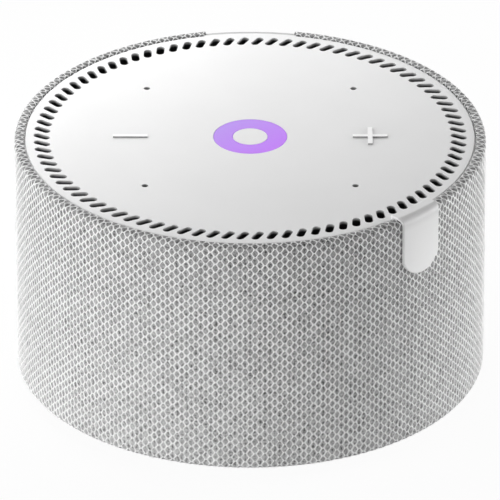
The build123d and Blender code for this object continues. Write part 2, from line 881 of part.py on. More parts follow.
def make_lead_header():
    """Header on the main board that takes the leads."""
    half = header_width / 2
    tall = header_height / 2
    body = block((-half, half), (board_front - header_depth, board_front), (lead_z - tall, lead_z + tall))
    start, end = lead_ends()
    holes = [
        rod((side * lead_spacing / 2, start, lead_z), lead_radius + thread_fit, end - start + 0.3, (0, 1, 0))
        for side in (-1, 1)
    ]
    return body - holes


def make_touch_board():
    """Round board under the cover with sound holes and screw holes."""
    board = disc(touch_board_radius, touch_board_under, touch_board_top)
    holes = [Pos(x, y, 0) * disc(0.5, touch_board_under - 1, touch_board_top + 1) for x, y in mic_places()]
    start = at_circle(cover_screw_circle, 0, touch_board_under - 1)
    holes += around(way(start, (0, 0, 1), touch_board_thickness + 2), cover_screw_angles)
    return board - holes


def make_top_frame():
    """Ring that clamps the touch board against the bosses of the cover."""
    frame = ring(touch_board_radius, frame_inner_radius, frame_under, touch_board_under)
    half = plug_length / 2 + 1
    notch = block((-half, half), (0, touch_board_radius + 1), (frame_under - 1, touch_board_under + 1))
    start = at_circle(cover_screw_circle, 0, frame_under - 1)
    return frame - [notch] - around(way(start, (0, 0, 1), frame_height + 2), cover_screw_angles)


def make_cover_screws():
    """Screws that hold frame and board up against the cover."""
    start = at_circle(cover_screw_circle, 0, frame_under)
    return around(screw(start, (0, 0, 1), cover_screw_length), cover_screw_angles)


def make_mic_capsules():
    """Microphones under the touch board."""
    capsule = block(
        (-mic_length / 2, mic_length / 2),
        (-mic_width / 2, mic_width / 2),
        (touch_board_under - mic_height, touch_board_under),
    )
    return [Pos(x, y, 0) * capsule for x, y in mic_places()]


def make_mic_gaskets():
    """Rubber tubes between the touch board and the microphone holes."""
    tube = ring(gasket_radius, mic_hole_diameter / 2 + fit, touch_board_top, cover_under)
    return [Pos(x, y, 0) * tube for x, y in mic_places()]


def make_touch_pads():
    """Conductive foam pads under the plus and minus marks."""
    pad = disc(touch_pad_radius, touch_board_top, cover_under)
    return [Pos(side * mark_offset, 0, 0) * pad for side in (-1, 1)]


def make_status_leds():
    """Lamps under the light window."""
    half = led_size / 2
    level = (touch_board_top, touch_board_top + led_height)
    lamp = block((led_circle - half, led_circle + half), (-half, half), level)
    return around(lamp, even(led_count, led_start))


def make_light_well():
    """White wall round the lamps, up to the window's flange."""
    return ring(window_flange_radius, window_flange_radius - well_wall, touch_board_top, window_under)


def make_main_board():
    """Upright board behind the chamber with four screw holes."""
    board = block((-board_half, board_half), (board_front, board_back), (board_low, board_high))
    deep = board_thickness + 2
    return board - [way((x, board_front - 1, z), (0, 1, 0), deep) for x, z in board_screw_places()]


def make_board_screws():
    """Screws that hold the main board on the chamber's posts."""
    return [screw((x, board_back, z), (0, -1, 0), board_screw_length) for x, z in board_screw_places()]


def shield_block(inset, y):
    """Block over the processor, set in by an amount."""
    middle = board_low + shield_rise
    across = shield_width / 2 - inset
    up = shield_length / 2 - inset
    return block((shield_x - across, shield_x + across), y, (middle - up, middle + up))


def make_shield_can():
    """Sheet metal can over the processor and the radio."""
    top = board_back + shield_height
    room = shield_block(shield_sheet, (board_back - 1, top - shield_sheet))
    return shield_block(0, (board_back, top)) - room


def make_thermal_pad():
    """Soft pad between the can and the heat spreader."""
    low = board_back + shield_height
    return shield_block(0, (low, low + thermal_pad_thickness))


def make_heat_spreader():
    """Aluminium plate on the soft pad."""
    low = board_back + shield_height + thermal_pad_thickness
    plate = shield_block(0, (low, low + spreader_thickness))
    return fillet(plate.edges().filter_by(Axis.Y), 1.5)


def chip(place, y):
    """Square chip at a place on the main board."""
    x, rise, side = place
    z = board_low + rise
    half = side / 2
    return block((x - half, x + half), y, (z - half, z + half))


def make_board_chips():
    """Processor, memory, amplifier and capacitors on both faces of the main board."""
    processor = (shield_x, shield_rise, processor_side)
    rear = (processor, *rear_chips)
    chips = [chip(place, (board_back, board_back + chip_height)) for place in rear]
    chips += [chip(place, (board_front - chip_height, board_front)) for place in front_chips]
    for x, rise in capacitor_places:
        chips.append(rod((x, board_back, board_low + rise), capacitor_radius, capacitor_height, (0, 1, 0)))
    return chips


def make_wifi_antennas():
    """Two bent sheet aerials on the upper corners of the main board."""
    tip = board_half - antenna_inset
    bar_low = board_back + antenna_height - antenna_sheet
    high = board_high - antenna_sheet
    low = high - antenna_width
    aerials = []
    for side in (-1, 1):
        x = sorted((side * tip, side * (tip - antenna_length)))
        bar = block(x, (bar_low, bar_low + antenna_sheet), (low, high))
        feet = [
            block((foot, foot + antenna_sheet), (board_back, bar_low), (low, high - antenna_width / 3))
            for foot in (x[0], (x[0] + x[1]) / 2)
        ]
        aerials.append(bar + feet)
    return aerials


def socket_tube(inset, y):
    """Round-ended power socket shape, set in by an amount."""
    length = socket_width - 2 * inset
    return rear_stadium(length, socket_height - 2 * inset, 0, socket_z, y)


def make_socket_shell():
    """Steel mouth of the power socket."""
    tube = socket_tube(0, (board_back, socket_mouth))
    return tube - socket_tube(socket_sheet, (board_back - 1, socket_mouth + 1))


def make_socket_tongue():
    """Plastic back and contact tongue inside the socket."""
    back = socket_tube(socket_sheet + thread_fit, (board_back, board_back + tongue_back))
    half = tongue_width / 2
    thin = tongue_thickness / 2
    reach = (board_back + tongue_back - 0.1, socket_mouth - 1.0)
    return back + block((-half, half), reach, (socket_z - thin, socket_z + thin))


def make_switch_body():
    """Slide switch on the main board, with room for the pin of the knob."""
    half = switch_width / 2
    tall = switch_height / 2
    body = block((-half, half), (board_back, switch_front), (switch_z - tall, switch_z + tall))
    side = knob_pin / 2 + switch_travel / 2 + slide_fit
    up = knob_pin / 2 + slide_fit
    deep = switch_front - knob_pin_depth - slide_fit
    well = block((-side, side), (deep, switch_front + 1), (switch_z - up, switch_z + up))
    return body - well


def make_mute_knob():
    """Sliding knob in the rear panel, with a flange and a pin behind it."""
    face = body_radius - knob_sink
    back = knob_flange_front - knob_flange_thickness
    cap = rear_stadium(knob_length, knob_height, knob_rest, switch_z, (back, face))
    cap = fillet(cap.faces().sort_by(Axis.Y)[-1].edges(), 0.3)
    groove = Pos(knob_rest, face, switch_z) * Box(0.5, 0.6, 2)
    grooves = [Pos(x, 0, 0) * groove for x in (-1.2, 0, 1.2)]
    half = knob_flange_length / 2
    tall = knob_flange_height / 2
    level = (switch_z - tall, switch_z + tall)
    flange = block((knob_rest - half, knob_rest + half), (back, knob_flange_front), level)
    pin = knob_pin / 2
    level = (switch_z - pin, switch_z + pin)
    reach = (switch_front - knob_pin_depth, back + knob_flange_thickness / 2)
    stem = block((knob_rest - pin, knob_rest + pin), reach, level)
    return cap - grooves + flange + stem


def ribbon_shape(thickness, width):
    """Flat ribbon up from the main board and forwards to the touch board."""
    start = (0, ribbon_y, ribbon_low)
    corner = (0, ribbon_y, ribbon_high)
    end = (0, ribbon_end, ribbon_high)
    path = FilletPolyline(start, corner, end, radius=ribbon_bend)
    section = Plane(origin=start, x_dir=(1, 0, 0), z_dir=(0, 0, 1)) * Rectangle(width, thickness)
    return sweep(section, path=path)


def make_ribbon_plugs():
    """Ribbon connectors on the main board and under the touch board."""
    half = plug_length / 2
    low = ribbon_low - plug_hold
    lower = block((-half, half), (board_front - plug_depth, board_front), (low, low + plug_height))
    front = ribbon_end - plug_hold
    level = (touch_board_under - plug_depth, touch_board_under)
    upper = block((-half, half), (front, front + plug_height), level)
    room = ribbon_shape(ribbon_thickness + 2 * fit, ribbon_width + 2 * fit)
    return [lower - room, upper - room]


def pieces():
    """Every piece of the speaker by name."""
    return {
        "top_cover": make_top_cover(),
        "light_window": make_light_window(),
        "centre_cap": make_centre_cap(),
        "slot_scrim": make_slot_scrim(),
        "fabric_sleeve": make_fabric_sleeve(),
        "grille_shell": make_grille_shell(),
        "rear_panel": make_rear_panel(),
        "base_plate": make_base_plate(),
        "rubber_foot": make_rubber_foot(),
        "base_screws": under_screws(base_screw_circle, even(4, 45), base_screw_length),
        "chamber_screws": under_screws(chamber_screw_circle, chamber_screw_angles, chamber_screw_length),
        "chamber_cup": make_chamber_cup(),
        "chamber_seal": make_chamber_seal(),
        "baffle": make_baffle(),
        "baffle_screws": make_baffle_screws(),
        "driver_gasket": make_driver_gasket(),
        "driver_basket": make_driver_basket(),
        "driver_yoke": make_driver_yoke(),
        "driver_magnet": disc(magnet_radius, magnet_low, plate_low),
        "driver_pole_plate": disc(pole_plate_radius, plate_low, yoke_top),
        "voice_coil": make_voice_coil(),
        "driver_cone": make_driver_cone(),
        "dust_cap": make_dust_cap(),
        "driver_surround": make_driver_surround(),
        "driver_spider": make_driver_spider(),
        "driver_screws": make_driver_screws(),
        "driver_terminal": make_driver_terminal(),
        "speaker_leads": make_speaker_leads(),
        "lead_grommet": make_lead_grommet(),
        "lead_header": make_lead_header(),
        "touch_board": make_touch_board(),
        "top_frame": make_top_frame(),
        "cover_screws": make_cover_screws(),
        "mic_capsules": make_mic_capsules(),
        "mic_gaskets": make_mic_gaskets(),
        "touch_pads": make_touch_pads(),
        "status_leds": make_status_leds(),
        "light_well": make_light_well(),
        "main_board": make_main_board(),
        "board_screws": make_board_screws(),
        "shield_can": make_shield_can(),
        "thermal_pad": make_thermal_pad(),
        "heat_spreader": make_heat_spreader(),
        "board_chips": make_board_chips(),
        "wifi_antennas": make_wifi_antennas(),
        "usb_socket_shell": make_socket_shell(),
        "usb_socket_tongue": make_socket_tongue(),
        "mute_switch_body": make_switch_body(),
        "mute_knob": make_mute_knob(),
        "ribbon_cable": ribbon_shape(ribbon_thickness, ribbon_width),
        "ribbon_plugs": make_ribbon_plugs(),
    }


os.makedirs("parts", exist_ok=True)
for name, shape in pieces().items():
    solids = shape if isinstance(shape, list) else [shape]
    solids = [solid for item in solids for solid in item.solids()]
    export_step(solids[0] if len(solids) == 1 else Compound(solids), f"parts/{name}.step")
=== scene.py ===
"""Smart speaker with a knitted sleeve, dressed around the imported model. Sizes are in metres."""

import math

import bpy
import numpy as np
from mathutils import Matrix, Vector


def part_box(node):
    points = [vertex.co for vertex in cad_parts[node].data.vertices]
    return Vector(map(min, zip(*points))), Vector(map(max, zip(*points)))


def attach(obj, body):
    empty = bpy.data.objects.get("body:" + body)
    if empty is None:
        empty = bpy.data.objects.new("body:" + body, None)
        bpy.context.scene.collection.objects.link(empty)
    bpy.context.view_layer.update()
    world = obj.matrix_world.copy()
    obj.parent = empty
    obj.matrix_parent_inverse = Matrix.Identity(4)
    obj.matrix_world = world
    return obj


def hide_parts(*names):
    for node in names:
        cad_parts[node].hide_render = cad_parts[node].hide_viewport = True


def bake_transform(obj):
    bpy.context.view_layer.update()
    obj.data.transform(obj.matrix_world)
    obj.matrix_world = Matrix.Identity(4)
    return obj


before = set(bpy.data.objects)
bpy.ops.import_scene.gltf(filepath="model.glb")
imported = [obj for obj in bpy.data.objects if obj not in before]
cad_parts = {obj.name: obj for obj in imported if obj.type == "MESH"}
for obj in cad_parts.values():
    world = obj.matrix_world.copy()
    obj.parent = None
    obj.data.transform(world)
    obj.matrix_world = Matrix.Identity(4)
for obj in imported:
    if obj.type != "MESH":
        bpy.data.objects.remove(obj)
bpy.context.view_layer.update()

MM = 0.001

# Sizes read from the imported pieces
sleeve_low, sleeve_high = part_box("fabric_sleeve")
body_radius = (sleeve_high.x - sleeve_low.x) / 2
sleeve_foot = sleeve_low.z
sleeve_top = sleeve_high.z
surround_low, surround_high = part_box("driver_surround")
spider_low, spider_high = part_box("driver_spider")
cone_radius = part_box("driver_cone")[1].x

# Sizes of the sleeve and the cover, after the part's source. The top lip reaches 0.08 mm further in than
# the part's, so that less of the gap round the cover shows
top_round = 0.9 * MM
bottom_round = 1.2 * MM
top_lip = 2.18 * MM
bottom_lip = 4.0 * MM
opening_half = 9.7 * MM
cloth_thickness = 0.8 * MM
cover_radius = 46.8 * MM
cover_sink = 0.25 * MM
cover_face = sleeve_top - cover_sink
mark_rise = 0.3 * MM

# Sizes of the knitted net, where sway and swell are shares of a cell and of a hole
column_count = 142
row_count = 31.5
net_panels = 3
corner_sway = 0.09
hole_swell = 0.2
hole_half_width = 0.55 * MM
hole_half_height = 0.785 * MM
yarn_depth = 0.12 * MM
hem_height = 0.3 * MM
hem_round = 0.25 * MM
ring_shares = np.array([0.0, 0.45, 0.85, 1.0])
ring_depths = np.array([0.0, 0.10, 0.45, 1.0])

# Sizes of the ground cloth under the net
rib_height = 0.05 * MM
ribs_per_column = 2
rib_count = column_count * ribs_per_column
points_per_rib = 6
round_points = 5

# Sizes of the two soft rings that carry the cone, after the part's source
cone_edge = 1.6 * MM
surround_thickness = 0.4 * MM
surround_roll = 1.7 * MM
surround_span = 2.2 * MM
roll_points = 13
spider_inside = 11.0 * MM
spider_edge = 1.6 * MM
spider_thickness = 0.4 * MM
spider_waves = 3
spider_wave_height = 0.7 * MM
points_per_wave = 12
sector_count = 16
sector_points = 7


def sleeve_lengths():
    """Lengths along the sleeve's section: hem, hem round, top lip, top round, side, bottom round and
    bottom lip."""
    quarter = math.pi / 2
    return np.array([
        hem_height,
        quarter * hem_round,
        top_lip - hem_round - top_round,
        quarter * top_round,
        sleeve_top - sleeve_foot - top_round - bottom_round,
        quarter * bottom_round,
        bottom_lip - bottom_round,
    ])


def sleeve_point(turn, along, depth):
    """Point of the sleeve. The section is walked up the hem inside the top lip, over a small quarter
    round, out along the lip, over the top's quarter round, down the straight side and round a larger
    quarter to the bottom lip. The point is set in by a depth along the section's normal, and the section
    is turned about Z."""
    straights = [0, 2, 4, 6]
    rounds = [1, 3, 5]
    lengths = sleeve_lengths()
    starts = np.cumsum(lengths) - lengths
    walked = np.clip(along[..., None] - starts, 0, lengths)
    hem, lip, side, foot = np.moveaxis(walked[..., straights], -1, 0)
    inner, upper, lower = np.moveaxis(math.pi / 2 * walked[..., rounds] / lengths[rounds], -1, 0)
    lean = inner + upper + lower - math.pi / 2
    radius = body_radius - top_lip + hem_round * (1 - np.cos(inner)) + lip
    radius = radius + top_round * np.sin(upper) - bottom_round * (1 - np.cos(lower)) - foot
    level = sleeve_top - hem_round - hem_height + hem + hem_round * np.sin(inner)
    level = level - top_round * (1 - np.cos(upper)) - side - bottom_round * np.sin(lower)
    radius = radius - depth * np.sin(lean)
    level = level - depth * np.cos(lean)
    return np.stack([radius * np.cos(turn), radius * np.sin(turn), level], axis=-1)


def rear_gap():
    """Half angle of the opening that the rear panel fills: the arc sine of its half width over the
    body's radius."""
    return math.asin(opening_half / body_radius)


def turn_of(share):
    """Angle about Z at a share of the way round the sleeve: it starts at one rear edge and grows evenly to
    the other."""
    return math.pi / 2 + rear_gap() + share * (2 * math.pi - 2 * rear_gap())


def flat_width():
    """Length of the sleeve round its side, from one rear edge to the other: its angle times the body's
    radius."""
    return (2 * math.pi - 2 * rear_gap()) * body_radius


def scatter(first, second):
    """Repeatable uneven number from 0 to 1 for each pair of numbers: the fraction of a large sine."""
    first_rate = 12.9898
    second_rate = 78.233
    swing = 43758.5453
    return np.modf(np.abs(np.sin(first * first_rate + second * second_rate) * swing))[0]


def new_mesh(name, points, faces, uv=None):
    """Mesh object at the origin from arrays of points, faces of four corners and corner coordinates."""
    mesh = bpy.data.meshes.new(name)
    mesh.vertices.add(len(points))
    mesh.vertices.foreach_set("co", points.astype(np.float32).ravel())
    mesh.loops.add(faces.size)
    mesh.loops.foreach_set("vertex_index", faces.astype(np.int32).ravel())
    mesh.polygons.add(len(faces))
    mesh.polygons.foreach_set("loop_start", np.arange(0, faces.size, faces.shape[1], dtype=np.int32))
    mesh.polygons.foreach_set("use_smooth", np.ones(len(faces), dtype=bool))
    if uv is not None:
        layer = mesh.uv_layers.new(name="cloth")
        layer.data.foreach_set("uv", uv[faces.ravel()].astype(np.float32).ravel())
    mesh.update(calc_edges=True)
    mesh.validate()
    piece = bpy.data.objects.new(name, mesh)
    bpy.context.scene.collection.objects.link(piece)
    return piece


def cell_corners():
    """Ten points round one net cell, in column and row steps from its middle. The cell is a six-sided
    tile, nearly a diamond, that repeats along both diagonals, with the middles of its long sides added."""
    flat = 0.045
    tip = 0.5 - flat
    right = np.array([[tip, 0.0], [0.25, 0.25], [flat, 0.5], [-flat, 0.5], [-0.25, 0.25]])
    return np.concatenate([right, -right])


def hole_corners():
    """Ten points round a cell's hole, as shares of its half width and half height: upright sides that
    draw together above and below."""
    right = np.array([[1.0, 0.0], [0.84, 0.45], [0.15, 1.0], [-0.15, 1.0], [-0.84, 0.45]])
    return np.concatenate([right, -right])


def column_pitch():
    """Width of a cell of the net on the sleeve's side: the flat width over the columns."""
    return flat_width() / column_count


def row_pitch():
    """Height of a cell of the net: the length of the section over the rows."""
    return sleeve_lengths().sum() / row_count


def net_cells():
    """Middles of the net's cells in columns and rows: half a row apart, with every second half row moved on
    by half a column, as far as the last column's edge."""
    rows = np.arange(0, 2 * row_count + 1)
    columns = np.arange(0, column_count + 1)
    row, column = np.meshgrid(rows, columns, indexing="ij")
    across = column + 0.5 * (1 - row % 2)
    keep = across <= column_count
    return across[keep], row[keep] / 2


def swayed(outer):
    """Cell corners moved both ways by the sway times an uneven number from minus a half to a half. Corners
    that share a place have the same whole numbers as their key, so they move together."""
    keys_per_step = 400
    second_draw = 7
    key = np.round(outer * keys_per_step)
    sideways = scatter(key[..., 0], key[..., 1])
    upwards = scatter(key[..., 1], key[..., 0] + second_draw)
    return outer + corner_sway * (np.stack([sideways, upwards], -1) - 0.5)


def net_grid():
    """Net of yarn as rings of points in each cell. The outer ring is the crest that neighbours share, the
    inner ring is the hole's edge on the ground, and the depth grows towards the hole as the side of a
    round yarn does. Returns points, faces, cloth coordinates and each face's column."""
    across, down = net_cells()
    middle = np.stack([across, down], -1)[:, None, :]
    outer = swayed(middle + cell_corners()[None, :, :])

    swell = 1 + hole_swell * (scatter(across, down) - 0.5)
    half = np.array([hole_half_width / column_pitch(), hole_half_height / row_pitch()])
    hole = swell[:, None, None] * (hole_corners() * half)[None] + middle

    share = ring_shares[None, :, None, None]
    place = outer[:, None] * (1 - share) + hole[:, None] * share
    place[..., 0] = np.clip(place[..., 0], 0, column_count)
    place[..., 1] = np.clip(place[..., 1], 0, row_count)
    depth = np.broadcast_to(ring_depths[None, :, None] * yarn_depth, place.shape[:3])
    turn = turn_of(place[..., 0] / column_count)
    points = sleeve_point(turn, place[..., 1] * row_pitch(), depth).reshape(-1, 3)

    cells, rings, corners = place.shape[:3]
    index = np.arange(cells * rings * corners).reshape(cells, rings, corners)
    onward = np.roll(index, -1, axis=2)
    faces = np.stack([index[:, :-1], index[:, 1:], onward[:, 1:], onward[:, :-1]], -1)
    owner = np.repeat(across, (rings - 1) * corners)
    return points, faces.reshape(-1, 4), place.reshape(-1, 2), owner


def merged(points, faces, uv):
    """Joins points that share a place and drops faces that have shrunk to a line. A face's area is half the
    cross product of its diagonals."""
    places_per_metre = 2e6
    least_area = 5e-11
    key = np.round(points * places_per_metre).astype(np.int64)
    first, back = np.unique(key, axis=0, return_index=True, return_inverse=True)[1:]
    faces = back.reshape(-1)[faces]
    corners = points[first][faces]
    one_diagonal = corners[:, 2] - corners[:, 0]
    other_diagonal = corners[:, 3] - corners[:, 1]
    area = np.linalg.norm(np.cross(one_diagonal, other_diagonal), axis=1) / 2
    return points[first], faces[area > least_area], uv[first]


def used_only(points, faces, uv):
    """Keeps the points that the faces use."""
    used, back = np.unique(faces, return_inverse=True)
    return points[used], back.reshape(faces.shape), uv[used]


def make_net():
    """Net of yarn on the sleeve, in panels side by side."""
    points, faces, uv, owner = net_grid()
    panel = np.minimum(owner * net_panels / column_count, net_panels - 1).astype(int)
    made = []
    for number in range(net_panels):
        part = used_only(points, faces[panel == number], uv)
        part = used_only(*merged(*part))
        made.append(new_mesh(f"sleeve_net_{number + 1}", *part))
    return made


def closed_shell(face, back):
    """Points and faces of a closed shell between two grids. Each step of the first way is one loop, along
    the face and home along the back. The two ends have points of their own, filled with rungs from face
    to back, so that their edges stay sharp."""
    loop = np.concatenate([face, back[:, ::-1]], axis=1)
    length, width = loop.shape[:2]
    index = np.arange(length * width).reshape(length, width)
    onward = np.roll(index, -1, axis=1)
    sides = np.stack([index[:-1], onward[:-1], onward[1:], index[1:]], -1).reshape(-1, 4)
    rung = np.arange(width // 2 - 1)
    start = np.stack([rung, width - 1 - rung, width - 2 - rung, rung + 1], -1) + length * width
    end = start[:, ::-1] + width
    points = np.concatenate([loop, loop[:1], loop[-1:]])
    return points.reshape(-1, loop.shape[2]), np.concatenate([sides, start, end])


def make_ground():
    """Ground cloth under the net, from the top lip on: a closed thin shell whose outside carries upright
    ribs, as a cosine of the way round. Each point also carries its place on the cloth."""
    lip_start, lip_end, side_start, side_end, foot_start, foot_end = np.cumsum(sleeve_lengths())[1:]
    steps = np.linspace(0, 1, round_points)
    top = lip_end + steps * (side_start - lip_end)
    bottom = side_end + steps * (foot_start - side_end)
    along = np.concatenate([[lip_start], top, bottom, [foot_end]])
    around = np.linspace(0, 1, rib_count * points_per_rib + 1)
    ripple = 0.5 - 0.5 * np.cos(around * rib_count * 2 * math.pi)
    outside = yarn_depth - rib_height * ripple
    share, path = np.meshgrid(around, along, indexing="ij")
    face = sleeve_point(turn_of(share), path, np.broadcast_to(outside[:, None], share.shape))
    back = sleeve_point(turn_of(share), path, np.full(share.shape, cloth_thickness))
    uv = np.stack([share * rib_count, path / foot_end * row_count], -1)
    points, faces = closed_shell(np.concatenate([face, uv], -1), np.concatenate([back, uv], -1))
    return new_mesh("sleeve_ground", *used_only(*merged(points[:, :3], faces, points[:, 3:])))


def surround_section():
    """Upper and lower line of the surround's section as radius and level, from the cone outwards: a flat
    edge on the cone, a half roll and a flat edge on the flange. The roll is half a circle above and half
    an ellipse below."""
    flange = surround_low.z + surround_thickness
    top = flange + surround_thickness
    inner = cone_radius - cone_edge
    middle = cone_radius + surround_span / 2
    narrow = surround_roll - surround_thickness
    turn = np.linspace(math.pi, 0, roll_points)
    over = np.stack([middle + surround_roll * np.cos(turn), top + surround_roll * np.sin(turn)], -1)
    under = np.stack([middle + narrow * np.cos(turn), flange + surround_roll * np.sin(turn)], -1)
    outer = surround_high.x
    upper = [[[inner, top], [cone_radius - cone_edge / 2, top]], over, [[outer, top]]]
    lower = [[[inner, surround_low.z], [cone_radius, surround_low.z]], under, [[outer, flange]]]
    return np.concatenate(upper), np.concatenate(lower)


def spider_section():
    """Upper and lower line of the spider's section: a flat edge on the coil, waves that are a raised
    cosine of the way across, and a flat edge on the basket."""
    start = spider_inside + spider_edge / 2
    end = spider_high.x - spider_edge
    way = np.linspace(0, 1, points_per_wave * spider_waves + 1)
    radius = np.concatenate([[spider_inside], start + way * (end - start), [spider_high.x]])
    wave = 0.5 - 0.5 * np.cos(2 * math.pi * spider_waves * way)
    level = spider_low.z + spider_wave_height * np.concatenate([[0.0], wave, [0.0]])
    return np.stack([radius, level + spider_thickness], -1), np.stack([radius, level], -1)


def turned(line, turn):
    """A line of radius and level carried round Z through some angles."""
    radius, level = line[None, :, 0], line[None, :, 1]
    turn = turn[:, None]
    return np.stack([radius * np.cos(turn), radius * np.sin(turn), level + 0 * turn], -1)


def make_soft_ring(name, node, section, fixed):
    """Soft ring round the cone in equal sectors. The fixed radius is not used."""
    half = math.pi / sector_count
    # A sector's corners at the fixed radius lie this far out along its middle
    fixed = fixed * math.cos(half)
    upper, lower = section
    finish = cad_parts[node].material_slots[0].material
    for number in range(sector_count):
        middle = 2 * half * number
        turn = middle + np.linspace(-half, half, sector_points)
        points, faces = closed_shell(turned(upper, turn), turned(lower, turn))
        piece = new_mesh(f"{name}_{number + 1}", points, faces)
        piece.data.materials.append(finish)
        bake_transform(piece)
        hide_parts(node)


# Materials

# Places of a colour mix's sockets: its share, its two colours and the result
mix_share = 0
mix_first = 6
mix_second = 7
mix_result = 2


def add_node(tree, kind, inputs=None, **settings):
    """Adds a shader node with its settings and plain input values."""
    node = tree.nodes.new(kind)
    for name, value in settings.items():
        setattr(node, name, value)
    for name, value in (inputs or {}).items():
        node.inputs[name].default_value = value
    return node


def new_finish(name, **values):
    """Material with a principled shader, its plain values set on the shader's own sockets."""
    finish = bpy.data.materials.new(name)
    finish.use_nodes = True
    tree = finish.node_tree
    shader = tree.nodes["Principled BSDF"]
    for socket, value in values.items():
        shader.inputs[socket.replace("_", " ")].default_value = value
    return finish, tree, shader


def object_place(tree):
    """Object coordinates."""
    return add_node(tree, "ShaderNodeTexCoord").outputs["Object"]


def separated(tree, vector):
    """The X, Y and Z of a vector."""
    parts = add_node(tree, "ShaderNodeSeparateXYZ")
    tree.links.new(vector, parts.inputs["Vector"])
    return parts.outputs


def cloth_place(tree):
    """The cloth's own coordinates: X round the sleeve and Y along its section."""
    return separated(tree, add_node(tree, "ShaderNodeUVMap", uv_map="cloth").outputs["UV"])


def speckle(tree, place, size, detail=3.0):
    """Noise with grains of a size in metres."""
    noise = add_node(tree, "ShaderNodeTexNoise", {"Scale": 1 / size, "Detail": detail})
    tree.links.new(place, noise.inputs["Vector"])
    return noise.outputs["Fac"]


def ramp(tree, value, stops):
    """Colour ramp between places and colours."""
    node = add_node(tree, "ShaderNodeValToRGB")
    elements = node.color_ramp.elements
    while len(elements) < len(stops):
        elements.new(0.5)
    for element, (place, colour) in zip(elements, stops):
        element.position = place
        element.color = (*colour, 1.0)
    tree.links.new(value, node.inputs["Fac"])
    return node.outputs["Color"]


def spread(tree, value, low, high, start=0.0, end=1.0):
    """A value between a start and an end carried to a low and a high limit."""
    node = add_node(
        tree,
        "ShaderNodeMapRange",
        {"From Min": start, "From Max": end, "To Min": low, "To Max": high},
    )
    tree.links.new(value, node.inputs["Value"])
    return node.outputs["Result"]


def raise_grain(tree, shader, height, depth):
    """Bump on a shader from a height and a depth in metres."""
    bump = add_node(tree, "ShaderNodeBump", {"Distance": depth, "Strength": 1.0})
    tree.links.new(height, bump.inputs["Height"])
    tree.links.new(bump.outputs["Normal"], shader.inputs["Normal"])


def grained(name, dark, light, size, rough, depth, **values):
    """Finish whose colour, roughness and height all vary with one noise. It takes the dark and light colour,
    the size of the grains, the least and most roughness and the depth of the grains."""
    finish, tree, shader = new_finish(name, **values)
    grain = speckle(tree, object_place(tree), size)
    tree.links.new(ramp(tree, grain, [(0.3, dark), (0.7, light)]), shader.inputs["Base Color"])
    tree.links.new(spread(tree, grain, rough[0], rough[1]), shader.inputs["Roughness"])
    raise_grain(tree, shader, grain, depth)
    return finish


def grey(value):
    """Neutral colour."""
    return (value, value, value)


def maths(tree, operation, first, second):
    """One calculation with two values, each a socket or a plain number."""
    node = add_node(tree, "ShaderNodeMath", operation=operation)
    for socket, value in zip(node.inputs, (first, second)):
        if isinstance(value, (int, float)):
            socket.default_value = value
        else:
            tree.links.new(value, socket)
    return node.outputs["Value"]


def product(tree, first, *others):
    """Several values multiplied."""
    for value in others:
        first = maths(tree, "MULTIPLY", first, value)
    return first


def whole_waves(tree, value):
    """Cosine of a value, with one wave to each whole number."""
    return maths(tree, "COSINE", maths(tree, "MULTIPLY", value, 2 * math.pi), 0.0)


def tinted(tree, colour, shade):
    """A colour multiplied by a shade."""
    node = add_node(tree, "ShaderNodeMix", data_type="RGBA", blend_type="MULTIPLY")
    node.inputs[mix_share].default_value = 1.0
    tree.links.new(colour, node.inputs[mix_first])
    tree.links.new(shade, node.inputs[mix_second])
    return node.outputs[mix_result]


def blended(tree, share, first, second):
    """A mix of two colours by a share of the second."""
    node = add_node(tree, "ShaderNodeMix", data_type="RGBA")
    tree.links.new(share, node.inputs[mix_share])
    tree.links.new(first, node.inputs[mix_first])
    node.inputs[mix_second].default_value = (*second, 1.0)
    return node.outputs[mix_result]


def darkened(tree, colour, share):
    """A colour mixed with black by a share."""
    return blended(tree, share, colour, grey(0.0))


def axis_distance(tree, parts):
    """Distance from the upright axis: the length of X and Y together."""
    flat = add_node(tree, "ShaderNodeCombineXYZ")
    tree.links.new(parts["X"], flat.inputs["X"])
    tree.links.new(parts["Y"], flat.inputs["Y"])
    reach = add_node(tree, "ShaderNodeVectorMath", operation="LENGTH")
    tree.links.new(flat.outputs["Vector"], reach.inputs[0])
    return reach.outputs["Value"]


def shade_marks(tree, colour, inside, level):
    """Painted shade on the sides of the raised marks, and whiter tops."""
    side_start = 0.08
    painted_side_shade = 0.75
    top_start = 0.8
    top_end = 0.9
    top_white = 0.97
    raised = spread(tree, level, 0.0, 1.0, cover_face, cover_face + mark_rise)
    painted_side_shades = [
        (0.0, grey(0.0)),
        (side_start, grey(painted_side_shade)),
        (top_start, grey(painted_side_shade)),
        (top_end, grey(0.0)),
    ]
    # Painted shade darkens the marks' sides, standing in for the shade beside them
    colour = darkened(tree, colour, product(tree, inside, ramp(tree, raised, painted_side_shades)))
    top = product(tree, inside, spread(tree, raised, 0.0, 1.0, top_start, top_end))
    return blended(tree, top, colour, grey(top_white))


def shade_holes(tree, colour, inside, reach, level):
    """Painted shade on the walls of the slots and small holes, darker with depth. The light ring's hole is
    left alone.
    """
    painted_shade_depth = 0.8 * MM
    deepest_painted_shade = 0.98
    ring_clear = 9 * MM
    holes_start = 10 * MM
    # Painted shade: the walls darken with depth, standing in for the shade inside the holes
    depth = spread(tree, level, deepest_painted_shade, 0.0, cover_face - painted_shade_depth, cover_face)
    beyond_ring = spread(tree, reach, 0.0, 1.0, ring_clear, holes_start)
    return darkened(tree, colour, product(tree, inside, depth, beyond_ring))


